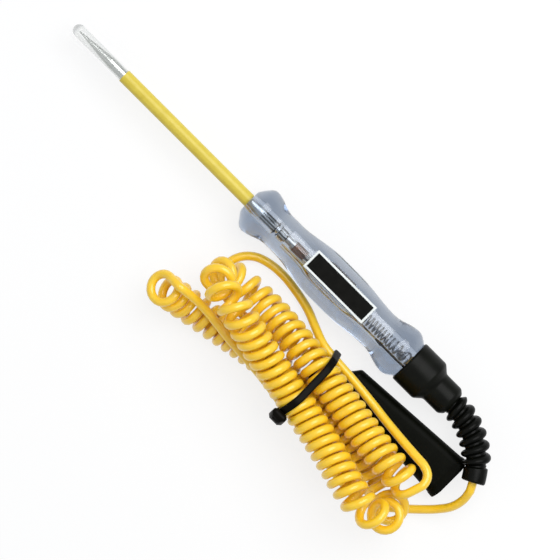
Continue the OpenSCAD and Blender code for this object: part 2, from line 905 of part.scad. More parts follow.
module clip_boot() {
    end_flat = 1;
    end_r = (boot_end - end_flat) / 2;
    inner_r = boot_round - boot_wall;
    end_low = clip_z - boot_end / 2;
    color([0.1, 0.1, 0.1])
        difference() {
            hull() {
                boot_plate(boot_mouth_x, boot_mouth_w, boot_mouth_h, boot_round, 0);
                boot_plate(boot_tail_x, boot_tail_w, boot_tail_h, boot_round, 0);
                boot_plate(boot_end_x - plate_t, boot_end, clip_z + boot_end / 2, end_r, end_low);
            }
            hull() {
                boot_plate(boot_mouth_x - cut, boot_mouth_w - 2 * boot_wall, boot_mouth_h - boot_wall,
                    inner_r, boot_wall);
                boot_plate(boot_tail_x - boot_wall, boot_tail_w - 2 * boot_wall, boot_tail_h - boot_wall,
                    inner_r, boot_wall);
            }
            translate([boot_tail_x - 2 * cut - boot_wall, clip_y, clip_z])
                rotate([0, 90, 0])
                    cylinder(h = boot_bevel + 4 * cut + boot_wall, d = cord_d + 2 * seat_gap);
        }
}

// Side view of a jaw, from the pivot: x runs to the tip, y to its own side
jaw_tip_depth = 2.2;
ear_r = 2.2 * pin_r;
lever_spread = 0.3;
lever_depth = 1;
bite_gap = 0.1;
moving_w = jaw_w - 2 * sheet_t - seat_gap;
jaw_outline = [
    [jaw_len, bite_gap],
    [jaw_len, jaw_tip_depth],
    [jaw_len / 2, jaw_depth],
    [-ear_r, jaw_depth + lever_spread / 2],
    [-lever_len, jaw_depth + lever_spread],
    [-lever_len, jaw_depth + lever_spread - lever_depth],
    [-ear_r, -pin_r - lever_spread],
    [ear_r, -pin_r - lever_spread],
    [ear_r + pin_r, bite_gap]
];

// A jaw pressed from sheet: a channel, open on the side that bites
module jaw(width, side) {
    translate([clip_x, clip_y, clip_z])
        rotate([side < 0 ? 0 : 180, 0, 180])
            difference() {
                translate([0, 0, -width / 2])
                    linear_extrude(width)
                        polygon(jaw_outline);
                translate([0, -sheet_t, -width / 2 + sheet_t])
                    linear_extrude(width - 2 * sheet_t)
                        polygon(jaw_outline);
            }
}

module clip_fixed_jaw() {
    color("silver")
        difference() {
            jaw(jaw_w, -1);
            pin_hole(pin_r);
        }
}

module clip_moving_jaw() {
    color("silver")
        difference() {
            jaw(moving_w, 1);
            pin_hole(pin_r + pin_fit);
        }
}

module pin_hole(r) {
    translate([clip_x, clip_y, clip_z - jaw_w])
        cylinder(h = 2 * jaw_w, r = r);
}

module clip_pin() {
    color("gray")
        translate([clip_x, clip_y, clip_z - jaw_w / 2])
            cylinder(h = jaw_w, r = pin_r);
}

module clip_spring() {
    coil_fit = 0.25;
    coil_r = pin_r + coil_fit + clip_wire_d / 2;
    coil_len = moving_w - 2 * sheet_t - seat_gap;
    leg = lever_len / 2;
    leg_y = jaw_depth - sheet_t - clip_wire_d;
    coil = wound(coil_len, coil_r, clip_wire_d, clip_turns, -90);
    color("gray")
        translate([clip_x, clip_y, clip_z - coil_len / 2])
            wire(concat(
                [[leg, -leg_y, clip_wire_d / 2]],
                coil,
                [[leg, leg_y, coil_len - clip_wire_d / 2]]
            ), clip_wire_d);
}

module clip_crimp() {
    color("peru")
        difference() {
            translate([crimp_x, clip_y, clip_z])
                rotate([0, 90, 0])
                    cylinder(h = crimp_len, d = crimp_d);
            translate([crimp_x + sheet_t, clip_y, clip_z])
                rotate([0, 90, 0])
                    cylinder(h = crimp_len, d = cord_d);
        }
}

probe_rod();
probe_sleeve();
tip_cap();
handle();
label_plate();
label_panel();
lamp_barrel();
lamp_front_cap();
lamp_glass();
lamp_filament();
lamp_rear_cap();
contact_spring();
rear_contact();
rear_terminal();
rear_cap();
strain_relief();
cord_handle_tail();
cord_curls();
cord_clip_tail();
cable_tie();
clip_boot();
clip_fixed_jaw();
clip_moving_jaw();
clip_pin();
clip_spring();
clip_crimp();
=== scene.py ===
# %% [markdown]
# # A lighted circuit tester, dressed from its CAD frame
# The real object is a hand tool: a pointed steel rod in a yellow sleeve, a clear grip with a small
# lamp inside, and a curly earth lead that is tied into a bundle and ends in a booted spring clip.
# The CAD frame already has every piece in its place, so this lesson only gives each piece the
# surface that it has on the real object, and swaps the coarse solids for smooth ones.

# %% Load the frame
import math
import bmesh
import bpy
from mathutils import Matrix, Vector


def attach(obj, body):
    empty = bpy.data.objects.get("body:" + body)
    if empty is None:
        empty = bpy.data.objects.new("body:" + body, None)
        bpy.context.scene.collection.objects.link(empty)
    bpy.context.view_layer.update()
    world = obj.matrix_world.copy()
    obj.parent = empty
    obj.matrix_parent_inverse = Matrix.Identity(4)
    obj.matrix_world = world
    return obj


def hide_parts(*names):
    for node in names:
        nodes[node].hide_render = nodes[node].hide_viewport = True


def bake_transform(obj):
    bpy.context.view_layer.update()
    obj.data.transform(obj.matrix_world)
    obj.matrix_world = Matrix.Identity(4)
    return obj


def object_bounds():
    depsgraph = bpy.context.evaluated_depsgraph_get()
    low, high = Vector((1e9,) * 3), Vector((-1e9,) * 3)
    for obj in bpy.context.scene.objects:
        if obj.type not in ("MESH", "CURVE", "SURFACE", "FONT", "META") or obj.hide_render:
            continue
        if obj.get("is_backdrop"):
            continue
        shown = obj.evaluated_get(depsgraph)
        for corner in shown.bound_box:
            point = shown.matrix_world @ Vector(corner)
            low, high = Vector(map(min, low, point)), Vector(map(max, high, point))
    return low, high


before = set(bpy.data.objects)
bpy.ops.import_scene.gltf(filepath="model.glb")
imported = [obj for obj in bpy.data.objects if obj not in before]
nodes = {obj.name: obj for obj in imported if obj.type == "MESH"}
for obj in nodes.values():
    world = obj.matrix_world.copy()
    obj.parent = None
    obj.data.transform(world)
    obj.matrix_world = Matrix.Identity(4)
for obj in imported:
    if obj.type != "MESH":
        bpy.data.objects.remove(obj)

cad_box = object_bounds()
print("CAD pieces:", len(nodes))

# %% [markdown]
# ## The camera
# The photograph looks straight down on the tester, which lies on a slant across the picture.
# A long lens far away gives nearly parallel lines, as in a catalogue picture. The camera is set by
# three directions: what is right, what is up and what points back at the lens.

# %% Camera
MM = 0.001
picture_width = 246.4 * MM
tool_height = 12.3 * MM
camera_height = 1.4
slant = math.radians(45.0)
aim_x, aim_y = -25.2 * MM, 15.1 * MM

lens = bpy.data.cameras.new("catalogue_lens")
lens.sensor_width = 36
lens.lens = lens.sensor_width * (camera_height - tool_height) / picture_width
camera = bpy.data.objects.new("catalogue_camera", lens)
bpy.context.scene.collection.objects.link(camera)
right = Vector((-math.cos(slant), -math.sin(slant), 0))
up = Vector((math.sin(slant), -math.cos(slant), 0))
back = Vector((0, 0, 1))
for row in range(3):
    camera.matrix_world[row][0] = right[row]
    camera.matrix_world[row][1] = up[row]
    camera.matrix_world[row][2] = back[row]
camera.matrix_world.translation = (aim_x, aim_y, camera_height)
bpy.context.scene.camera = camera
print("lens, mm:", round(lens.lens, 1))

# %% [markdown]
# ## The curly lead: its route
# A curly lead is a helix wound round a line that is itself bent. The line is given by a few listed
# points, the same ones that the CAD source has, and a smooth curve runs through them. Each point
# also says how far apart the curls are there: close on the runs, open where the lead folds.

# %% Points of the lead
cord_d = 4.0
curl_r = 6.0
close, soft, ready, loose, turning, folded = 4.7, 5.28, 6.0, 7.0, 8.0, 9.2
curl_route = [
    (9.7, 54, 22.4, loose), (7.7, 53.7, 19, loose), (5.1, 53.2, 16, loose),
    (2.8, 52.8, 14.05, ready), (-1.45, 52.1, 11.4, ready), (-6.1, 51.3, 9.6, ready),
    (-11, 50.4, 8.6, ready), (-17, 49.4, 8.4, soft), (-26, 47.8, 8.4, close),
    (-46, 44.8, 9.2, close), (-67, 43.5, 9.8, close), (-86, 43.8, 9.4, close),
    (-104, 45.4, 9.2, close), (-112, 46.6, 9.2, soft), (-118.5, 47.7, 9.4, turning),
    (-125, 48.5, 11, folded), (-129.7, 50.6, 15.2, folded), (-131.5, 53.5, 21, folded),
    (-129.7, 56.4, 26.8, folded), (-125, 58.5, 31, folded), (-118.5, 59.3, 32.6, turning),
    (-112, 58.2, 32, soft), (-100, 55, 29.6, close), (-84, 51.2, 27, close),
    (-67, 47.8, 25.8, close), (-50, 44.6, 27, soft), (-34, 41, 31, soft),
    (-25, 38.8, 34, ready), (-18.5, 37, 35, turning), (-11.8, 36.2, 33.1, folded),
    (-6.8, 34.7, 28.4, folded), (-5, 32.5, 22, folded), (-6.8, 30.3, 15.6, folded),
    (-11.8, 28.8, 10.9, folded), (-18.5, 28.2, 9.2, turning), (-25, 28, 9.3, soft),
    (-34, 28, 11.2, soft), (-46, 28.8, 15.4, soft), (-56, 29.8, 18.6, soft),
    (-67, 31.2, 20.8, close), (-86, 34.2, 23.4, close), (-104, 37, 26.4, close),
    (-112, 38, 28, soft), (-118, 38.4, 28.8, loose), (-124, 38.6, 27.8, loose),
    (-128.4, 38.7, 26, loose),
]
handle_tail_route = [
    (-150.5, 26, 13.5), (-149.5, 32, 9.5), (-146, 37.5, 5.5), (-140.5, 43.4, 3.2),
    (-134, 49.4, 2.4), (-127, 55, 2.4), (-119, 58.8, 4), (-108, 58.8, 8), (-97, 57.2, 11),
    (-86, 55.5, 13), (-76, 54.2, 14.2), (-67, 53.5, 14.6), (-56, 51.6, 17), (-46, 50.4, 18.2),
    (-36, 49.6, 18.8), (-27, 49, 19), (-18, 47.9, 19.2), (-10, 47.2, 21.4), (-3.5, 47.2, 24.6),
]
clip_tail_route = [
    (-131.6, 31.6, 31.6), (-130, 29.4, 31), (-127, 28, 29.9), (-121.5, 27.5, 27.6),
    (-115.5, 27.1, 25), (-108, 26.5, 22), (-101, 25.8, 19.4), (-93, 24.8, 17.2), (-85, 24, 16),
    (-76, 23.2, 14.8), (-67, 22.6, 14), (-59, 21.7, 12.7), (-51, 18.8, 8.6), (-43, 15.6, 4.4),
    (-34, 13.6, 2.5), (-25, 12.6, 2.2), (-17, 13.2, 2.2), (-10.5, 15.4, 2.2), (-6, 19.5, 2.2),
    (-3.8, 25, 2.2), (-4.6, 31, 2.2), (-9, 35.6, 2.2), (-15, 37.6, 2.2), (-22, 37.8, 2.2),
    (-32, 36.8, 2.2), (-42, 35, 2.2), (-51, 32, 2.3), (-59, 28.5, 3), (-66, 26, 4.2),
]
print("route points:", len(curl_route) + len(handle_tail_route) + len(clip_tail_route))

# %% [markdown]
# ## A smooth curve through points
# Blender's own curves can do this too, but the lead has to agree with the CAD solid to a fraction
# of a millimetre. So the curve is worked out here in the same way: between two points it is a cubic
# whose slope at each point is an average of the steps on both sides.

# %% Curve helpers
class SmoothLine:
    """A cubic line through points, with the slope at each from the steps on both sides."""

    def __init__(self, points):
        self.p = [Vector(q[:3]) for q in points]
        self.d = [(b - a).length for a, b in zip(self.p, self.p[1:])]
        p, d, last = self.p, self.d, len(self.p) - 1
        self.m = [(p[1] - p[0]) / d[0]]
        for i in range(1, last):
            ahead, behind = (p[i + 1] - p[i]) / d[i], (p[i] - p[i - 1]) / d[i - 1]
            self.m.append((ahead * d[i - 1] + behind * d[i]) / (d[i - 1] + d[i]))
        self.m.append((p[last] - p[last - 1]) / d[last - 1])

    def at(self, i, v):
        p, d, m = self.p, self.d, self.m
        return (p[i] * (2 * v**3 - 3 * v**2 + 1) + m[i] * d[i] * (v**3 - 2 * v**2 + v)
                + p[i + 1] * (3 * v**2 - 2 * v**3) + m[i + 1] * d[i] * (v**3 - v**2))

    def speed(self, i, v):
        p, d, m = self.p, self.d, self.m
        return (p[i] * (6 * v**2 - 6 * v) + m[i] * d[i] * (3 * v**2 - 4 * v + 1)
                + p[i + 1] * (6 * v - 6 * v**2) + m[i + 1] * d[i] * (3 * v**2 - 2 * v))

    def fine(self, per_span):
        inner = [self.at(i, k / per_span) for i in range(len(self.d)) for k in range(per_span)]
        return inner + [self.p[-1].copy()]


def across(v, t):
    """What is left of v across the direction t, at length 1."""
    return (v - t * v.dot(t)).normalized()


print("a smooth line needs", len(curl_route) - 1, "spans for the curls")

# %% [markdown]
# ## Winding the curls
# The helix is walked in sevenths of a curl, as the CAD source does, and a normal is carried along
# without twist, so the curls don't bunch up in the folds. The last curl is a part one, so that the
# cord leaves it on the clip's side. Between two such steps more points are put in, because a
# seven-sided curl would look like a nut and not like a cord.

# %% The helix
steps_per_curl = 7
last_share = 5 / 7
fine_per_step = 3


def walk_curls():
    """Places on the middle line, one for each seventh of a curl: span, share of it, normal."""
    line = SmoothLine(curl_route)
    i, v, last = 0, 0.0, len(curl_route) - 1
    q = line.speed(0, 0)
    n = across(Vector((0, -1, 0)), q.normalized())
    walked = []
    while i < last:
        walked.append((i, v, n.copy()))
        pitch = curl_route[i][3] + (curl_route[i + 1][3] - curl_route[i][3]) * v
        w = v + pitch / steps_per_curl / q.length
        if w >= 1 and i < last - 1:
            v, i = (w - 1) * line.d[i] / line.d[i + 1], i + 1
        elif w >= 1:
            break
        else:
            v = w
        q = line.speed(i, v)
        n = across(n, q.normalized())
    return line, walked


def wind_curls():
    """Points of the left-hand helix, the outward direction at each, and the number of curls."""
    line, walked = walk_curls()
    steps = len(walked) - 1
    curls = round(steps / steps_per_curl - last_share) + last_share
    so_far = [0.0]
    for d in line.d:
        so_far.append(so_far[-1] + d)
    points, outs = [], []
    for k in range(len(walked) - 1):
        (i, v, n), (i2, v2, n2) = walked[k], walked[k + 1]
        a, b = so_far[i] + v * line.d[i], so_far[i2] + v2 * line.d[i2]
        for j in range(fine_per_step + (k == len(walked) - 2)):
            f = j / fine_per_step
            g = a + (b - a) * f
            i3 = i if g <= so_far[i + 1] else i2
            v3 = (g - so_far[i3]) / line.d[i3]
            t = line.speed(i3, v3).normalized()
            normal = across(n.lerp(n2, f), t)
            turn = -2 * math.pi * curls * (k + f) / steps
            out = normal * math.cos(turn) + t.cross(normal) * math.sin(turn)
            points.append(line.at(i3, v3) + out * curl_r)
            outs.append(out)
    return points, outs, curls


curl_points, curl_outs, curls = wind_curls()
print("curls:", round(curls, 2))

# %% [markdown]
# ## The strain relief's middle line
# The lead leaves the tool through a ribbed rubber sleeve that bends to the side and climbs over the
# clip's boot. Its middle is an arc, so one function of the distance along it is enough, and both
# the ribs and the lead's first point use it.

# %% Strain relief line
x_front, axis_z = 8.8, 12.3
x_rear_end = -117.7
relief_bend_r, relief_bend = 34.0, math.radians(62)
relief_rise = 4.5
relief_len = relief_bend_r * relief_bend


def ease(a, b, u):
    return a + (b - a) * (1 - math.cos(math.pi * u)) / 2


def relief_at(s):
    a = s / relief_bend_r
    return Vector((x_rear_end - relief_bend_r * math.sin(a), relief_bend_r * (1 - math.cos(a)),
                   axis_z + ease(0, relief_rise, s / relief_len)))


relief_end = relief_at(relief_len)
relief_heading = Vector((-math.cos(relief_bend), math.sin(relief_bend), 0))
print("relief ends at, mm:", [round(c, 1) for c in relief_end])

# %% [markdown]
# ## One cord from end to end
# The lead is one piece of cord: a straight tail from the handle, the curls, and a tail to the clip.
# A Blender curve with a round bevel suits it, since its line is the cord's own centre line and its
# length can be measured. The thickness is set as the radius of each point, times a bevel of one, so
# that Blender also knows how far the cord reaches. It stands for the three CAD solids.

# %% The cord as a curve
clip_x, clip_y, clip_z = -113.0, 24.4, 5.3
lever_len, sheet_t = 22.0, 0.8
crimp_gap = 1.0
boot_end_x = -75.9
fine_per_span = 5
first_heading = across(curl_points[fine_per_step] - curl_points[0], curl_outs[0])
last_heading = across(curl_points[-1] - curl_points[-1 - fine_per_step], curl_outs[-1])
curl_start = curl_points[0] - first_heading * cord_d
curl_end = curl_points[-1] + last_heading * cord_d
crimp_end = Vector((clip_x + lever_len + crimp_gap + sheet_t, clip_y, clip_z))

handle_knots = [relief_end + relief_heading * cord_d] + handle_tail_route
handle_knots += [curl_start - first_heading * cord_d]
clip_knots = [curl_end + last_heading * cord_d / 2] + clip_tail_route
clip_knots += [(boot_end_x + cord_d, clip_y, clip_z)]
handle_tail = [relief_end] + SmoothLine(handle_knots).fine(fine_per_span)
clip_tail = SmoothLine(clip_knots).fine(fine_per_span)
cord_line = handle_tail + [curl_start] + curl_points + [curl_end] + clip_tail + [crimp_end]

curve = bpy.data.curves.new("earth_lead", "CURVE")
curve.dimensions = "3D"
curve.bevel_depth = 1.0
curve.bevel_resolution = 4
curve.use_fill_caps = True
spline = curve.splines.new("POLY")
spline.points.add(len(cord_line) - 1)
for knot, place in zip(spline.points, cord_line):
    knot.co = (place.x * MM, place.y * MM, place.z * MM, 1)
    knot.radius = cord_d / 2 * MM
spline.use_smooth = True
earth_lead = bpy.data.objects.new("earth_lead", curve)
bpy.context.scene.collection.objects.link(earth_lead)
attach(earth_lead, "root")
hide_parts("cord_handle_tail", "cord_curls", "cord_clip_tail")

# %% [markdown]
# ## Light and ground
# The catalogue picture has soft light from the side of the probe and a plain white ground. The
# floor is pale and takes a faint shadow; seen by the camera, in metal or through the clear grip it
# is mostly plain white. A large soft lamp makes long even highlights on the round pieces.

# %% Floor, world and lamps
def plain_material(name):
    material = bpy.data.materials.new(name)
    material.use_nodes = True
    material.node_tree.nodes.clear()
    output = material.node_tree.nodes.new("ShaderNodeOutputMaterial")
    return material, material.node_tree.nodes, material.node_tree.links, output


def seen_directly(n, links, by_camera, in_metal, in_clear):
    """A factor for rays from the camera, a mirror and clear plastic. Light itself gets 0."""
    path = n.new("ShaderNodeLightPath")
    shares = {"Is Camera Ray": by_camera, "Is Glossy Ray": in_metal,
              "Is Transmission Ray": in_clear}
    seen = None
    for ray, share in shares.items():
        part = n.new("ShaderNodeMath")
        part.operation = "MULTIPLY"
        links.new(path.outputs[ray], part.inputs[0])
        part.inputs[1].default_value = share
        if seen is None:
            seen = part.outputs[0]
            continue
        larger = n.new("ShaderNodeMath")
        larger.operation = "MAXIMUM"
        links.new(seen, larger.inputs[0])
        links.new(part.outputs[0], larger.inputs[1])
        seen = larger.outputs[0]
    return seen


floor_white, n, links, output = plain_material("white_ground")
matt = n.new("ShaderNodeBsdfDiffuse")
matt.inputs["Color"].default_value = (0.95, 0.95, 0.95, 1)
glow = n.new("ShaderNodeEmission")
glow.inputs["Strength"].default_value = 1.0
mix = n.new("ShaderNodeMixShader")
white_share = seen_directly(n, links, by_camera=0.8, in_metal=0.65, in_clear=0.65)
links.new(white_share, mix.inputs[0])
links.new(matt.outputs[0], mix.inputs[1])
links.new(glow.outputs[0], mix.inputs[2])
links.new(mix.outputs[0], output.inputs["Surface"])

floor_mesh = bpy.data.meshes.new("ground")
reach, ground_z = 3.0, -0.3 * MM
corners = [(x * reach, y * reach, ground_z) for x, y in ((-1, -1), (1, -1), (1, 1), (-1, 1))]
floor_mesh.from_pydata(corners, [], [(0, 1, 2, 3)])
floor_mesh.materials.append(floor_white)
ground = bpy.data.objects.new("ground", floor_mesh)
bpy.context.scene.collection.objects.link(ground)
ground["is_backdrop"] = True

world = bpy.data.worlds.new("soft_sky")
bpy.context.scene.world = world
world.use_nodes = True
n, links = world.node_tree.nodes, world.node_tree.links
n.clear()
sky_out = n.new("ShaderNodeOutputWorld")
sky = n.new("ShaderNodeBackground")
sky.inputs["Color"].default_value = (0.92, 0.95, 1.0, 1)
sky.inputs["Strength"].default_value = 0.42
white = n.new("ShaderNodeBackground")
white.inputs["Strength"].default_value = 1.0
mix = n.new("ShaderNodeMixShader")
white_share = seen_directly(n, links, by_camera=1.0, in_metal=0.5, in_clear=0.1)
links.new(white_share, mix.inputs[0])
links.new(sky.outputs[0], mix.inputs[1])
links.new(white.outputs[0], mix.inputs[2])
links.new(mix.outputs[0], sky_out.inputs["Surface"])
bundle_middle = Vector((-0.02, 0.02, 0.01))


def soft_lamp(name, place, size, watts):
    """A large square lamp that looks at the middle of the bundle."""
    lamp = bpy.data.lights.new(name, "AREA")
    lamp.size = size
    lamp.energy = watts
    lamp_object = bpy.data.objects.new(name, lamp)
    lamp_object.location = place
    aim = bundle_middle - Vector(place)
    lamp_object.rotation_euler = aim.to_track_quat("-Z", "Y").to_euler()
    bpy.context.scene.collection.objects.link(lamp_object)


soft_lamp("key_softbox", (-0.12, -0.46, 0.92), size=0.9, watts=9.5)
soft_lamp("fill_softbox", (0.35, 0.65, 0.8), size=1.2, watts=1.2)
bpy.context.scene.view_settings.view_transform = "Standard"
print("lamps: 2, sky strength:", sky.inputs["Strength"].default_value)

# %% [markdown]
# ## Finishes
# No real surface is one flat colour. Every opaque finish here mixes two close shades by a noise at
# the size of the real mottling, and lets a finer noise stand as a bump, so that highlights break up
# a little. Metals stretch that noise along the tool, as drawn and turned metal has lines.

# %% A finish from two shades
coat_roughness = 0.2
shade_low, shade_high = 0.3, 0.7
sheen_spread = 0.15
grain_depth = 0.2 * MM
metal_grain = 3000


def srgb(r, g, b):
    """A colour as it is read on a screen, 0 to 255, as the linear colour that a shader takes."""
    def one(c):
        c = c / 255
        return c / 12.92 if c <= 0.04045 else ((c + 0.055) / 1.055) ** 2.4
    return (one(r), one(g), one(b), 1)


def finish(name, shade_a, shade_b, roughness, mottle=250, grain=2500, bump=0.08, metallic=0.0,
           stretch=(1, 1, 1), coat=0.0, shine=0.5):
    """A surface of two close shades with a fine grain. mottle and grain are in spots per metre."""
    material, n, links, output = plain_material(name)
    shader = n.new("ShaderNodeBsdfPrincipled")
    shader.inputs["Metallic"].default_value = metallic
    shader.inputs["Specular IOR Level"].default_value = shine
    shader.inputs["Coat Weight"].default_value = coat
    shader.inputs["Coat Roughness"].default_value = coat_roughness
    place = n.new("ShaderNodeTexCoord")
    scale = n.new("ShaderNodeMapping")
    scale.inputs["Scale"].default_value = stretch
    links.new(place.outputs["Object"], scale.inputs["Vector"])
    cloud = n.new("ShaderNodeTexNoise")
    cloud.inputs["Scale"].default_value = mottle
    cloud.inputs["Detail"].default_value = 4
    links.new(scale.outputs[0], cloud.inputs["Vector"])
    shades = n.new("ShaderNodeValToRGB")
    shades.color_ramp.elements[0].position = shade_low
    shades.color_ramp.elements[1].position = shade_high
    shades.color_ramp.elements[0].color = shade_a
    shades.color_ramp.elements[1].color = shade_b
    links.new(cloud.outputs["Fac"], shades.inputs["Fac"])
    links.new(shades.outputs["Color"], shader.inputs["Base Color"])
    specks = n.new("ShaderNodeTexNoise")
    specks.inputs["Scale"].default_value = grain
    specks.inputs["Detail"].default_value = 3
    links.new(scale.outputs[0], specks.inputs["Vector"])
    sheen = n.new("ShaderNodeMapRange")
    sheen.inputs["To Min"].default_value = roughness * (1 - sheen_spread)
    sheen.inputs["To Max"].default_value = roughness * (1 + sheen_spread)
    links.new(specks.outputs["Fac"], sheen.inputs["Value"])
    links.new(sheen.outputs[0], shader.inputs["Roughness"])
    relief = n.new("ShaderNodeBump")
    relief.inputs["Strength"].default_value = bump
    relief.inputs["Distance"].default_value = grain_depth
    links.new(specks.outputs["Fac"], relief.inputs["Height"])
    links.new(relief.outputs["Normal"], shader.inputs["Normal"])
    links.new(shader.outputs[0], output.inputs["Surface"])
    return material


def metal(name, shade_a, shade_b, roughness, mottle, bump, metallic=1.0, stretch=(1, 1, 1)):
    """A finish with the fine grain of metal."""
    return finish(name, shade_a, shade_b, roughness, mottle, metal_grain, bump, metallic, stretch)


print("a finish mixes its two shades between", shade_low, "and", shade_high)

# %% Opaque finishes
along_tool = (0.06, 1, 1)
lead_yellow = finish("lead_yellow", srgb(252, 203, 34), srgb(255, 211, 46), 0.3,
                     bump=0.04, coat=0.6)
sleeve_yellow = finish("sleeve_yellow", srgb(212, 190, 60), srgb(220, 199, 72), 0.36, bump=0.03)
moulded_black = finish("moulded_black", srgb(8, 9, 6), srgb(14, 16, 11), 0.36,
                       bump=0.12, shine=0.1)
soft_black = finish("soft_black", srgb(5, 6, 4), srgb(10, 11, 8), 0.34,
                    grain=1800, bump=0.15, shine=0.1)
boot_black = finish("boot_black", srgb(6, 7, 3), srgb(10, 12, 6), 0.42,
                    grain=1800, bump=0.15, shine=0.04)
tie_nylon = finish("tie_nylon", srgb(9, 8, 5), srgb(15, 13, 9), 0.32, bump=0.06, shine=0.05)
turned_steel = metal("turned_steel", srgb(196, 198, 196), srgb(222, 224, 221), 0.3,
                     mottle=900, bump=0.03, stretch=along_tool)
plated_steel = metal("plated_steel", srgb(168, 168, 165), srgb(200, 200, 196), 0.36,
                     mottle=700, bump=0.04)
spring_wire = metal("spring_wire", srgb(120, 122, 124), srgb(168, 170, 172), 0.34,
                    mottle=900, bump=0.04)
dull_bronze = metal("dull_bronze", srgb(92, 62, 44), srgb(128, 88, 62), 0.45,
                    mottle=500, bump=0.1, metallic=0.6)
plain_brass = metal("plain_brass", srgb(176, 140, 78), srgb(206, 172, 104), 0.38,
                    mottle=600, bump=0.05)
label_pale = finish("label_pale", srgb(216, 222, 220), srgb(230, 234, 232), 0.4,
                    mottle=300, grain=3000, bump=0.04)
label_dark = finish("label_dark", srgb(13, 13, 11), srgb(20, 20, 18), 0.5,
                    mottle=300, grain=3000, bump=0.05, shine=0.03)
grey_wire = metal("grey_wire", srgb(88, 88, 88), srgb(120, 120, 118), 0.4, mottle=900, bump=0.05)
earth_lead.data.materials.append(lead_yellow)
print("the lead is finished in", lead_yellow.name)

# %% [markdown]
# ## Clear plastics
# The grip is turned from a clear bar with a faint blue grey cast, and the tip cap is soft clear
# vinyl. Both are a refracting shader with its own tint and index on its sockets; only the roughness
# has a faint cloud, as handled plastic has. The cast of the grip is in its depth: thick places look
# darker than thin ones, so it is an absorption inside the plastic and not a colour on its skin.

# %% Clear finishes
haze_spots = 120


def clear_finish(name, tint, index, rough_high):
    """A refracting plastic or glass with a faint cloud of roughness on its skin."""
    material, n, links, output = plain_material(name)
    shader = n.new("ShaderNodeBsdfPrincipled")
    shader.inputs["Base Color"].default_value = tint
    shader.inputs["Transmission Weight"].default_value = 1.0
    shader.inputs["IOR"].default_value = index
    place = n.new("ShaderNodeTexCoord")
    haze = n.new("ShaderNodeTexNoise")
    haze.inputs["Scale"].default_value = haze_spots
    haze.inputs["Detail"].default_value = 3
    links.new(place.outputs["Object"], haze.inputs["Vector"])
    rough = n.new("ShaderNodeMapRange")
    rough.inputs["To Min"].default_value = 0.0
    rough.inputs["To Max"].default_value = rough_high
    links.new(haze.outputs["Fac"], rough.inputs["Value"])
    links.new(rough.outputs[0], shader.inputs["Roughness"])
    links.new(shader.outputs[0], output.inputs["Surface"])
    return material


def add_depth(material, colour, density):
    """Light is lost on its way through the plastic, so thick places look darker than thin ones."""
    tree = material.node_tree
    smoke = tree.nodes.new("ShaderNodeVolumeAbsorption")
    smoke.inputs["Color"].default_value = colour
    smoke.inputs["Density"].default_value = density
    output = next(n for n in tree.nodes if n.type == "OUTPUT_MATERIAL")
    tree.links.new(smoke.outputs[0], output.inputs["Volume"])


clear_grip = clear_finish("clear_grip", (0.97, 0.98, 1.0, 1), index=1.48, rough_high=0.015)
clear_vinyl = clear_finish("clear_vinyl", (0.97, 0.975, 0.97, 1), index=1.25, rough_high=0.02)
lamp_glass_finish = clear_finish("lamp_glass_finish", (0.98, 0.97, 0.93, 1), index=1.35,
                                 rough_high=0.03)
add_depth(clear_grip, (0.31, 0.41, 0.54, 1), density=70)
add_depth(clear_vinyl, (0.40, 0.42, 0.42, 1), density=150)
print("clear finishes:", clear_grip.name, clear_vinyl.name, lamp_glass_finish.name)

# %% [markdown]
# ## Splines on the rod
# Where the rod sits in the grip it has fine splines that bite into the plastic. The CAD solid has
# their grooves, but they are thinner than a pixel, so the finish paints the shade in them: dark
# lines of painted shade along the rod, kept to its shank and its knob by the distance along the tool.

# %% Splined steel
groove_waves = 290
# painted shade: the dark colour that stands for the shade deep in the spline grooves
groove_painted_shade = srgb(30, 30, 26)


def splined_steel(name, stretches):
    """Turned steel with painted groove shade in stretches, each from and to behind the grip's front."""
    material = turned_steel.copy()
    material.name = name
    n, links = material.node_tree.nodes, material.node_tree.links
    shader = next(node for node in n if node.type == "BSDF_PRINCIPLED")
    steel = shader.inputs["Base Color"].links[0].from_socket
    place = next(node for node in n if node.type == "TEX_COORD").outputs["Object"]
    bands = n.new("ShaderNodeTexWave")
    bands.bands_direction = "Y"
    bands.inputs["Scale"].default_value = groove_waves
    links.new(place, bands.inputs["Vector"])
    parts = n.new("ShaderNodeSeparateXYZ")
    links.new(place, parts.inputs[0])
    # a mask of the spline grooves, where the painted shade is mixed into the steel's colour
    groove_shade_mask = None
    for begin, end in stretches:
        inside = n.new("ShaderNodeMath")
        inside.operation = "COMPARE"
        links.new(parts.outputs["X"], inside.inputs[0])
        inside.inputs[1].default_value = (x_front - (begin + end) / 2) * MM
        inside.inputs[2].default_value = (end - begin) / 2 * MM
        cut = n.new("ShaderNodeMath")
        cut.operation = "MULTIPLY_ADD"
        links.new(bands.outputs["Fac"], cut.inputs[0])
        links.new(inside.outputs[0], cut.inputs[1])
        if groove_shade_mask is None:
            cut.inputs[2].default_value = 0
        else:
            links.new(groove_shade_mask, cut.inputs[2])
        groove_shade_mask = cut.outputs[0]
    shade = n.new("ShaderNodeMix")
    shade.data_type = "RGBA"
    first_colour, second_colour, mixed_colour = shade.inputs[6], shade.inputs[7], shade.outputs[2]
    links.new(groove_shade_mask, shade.inputs["Factor"])
    links.new(steel, first_colour)
    second_colour.default_value = groove_painted_shade
    links.new(mixed_colour, shader.inputs["Base Color"])
    return material


shank_splines, knob_splines = (7.5, 16.2), (18.6, 23.0)
rod_steel = splined_steel("rod_steel", [shank_splines, knob_splines])
print("splines behind the front face, mm:", shank_splines, knob_splines)

# %% [markdown]
# ## Pieces that keep their CAD shape
# Turned and pressed pieces are already right in CAD, so they only get their finish. A CAD object is
# never moved or edited; its material slots are simply filled.

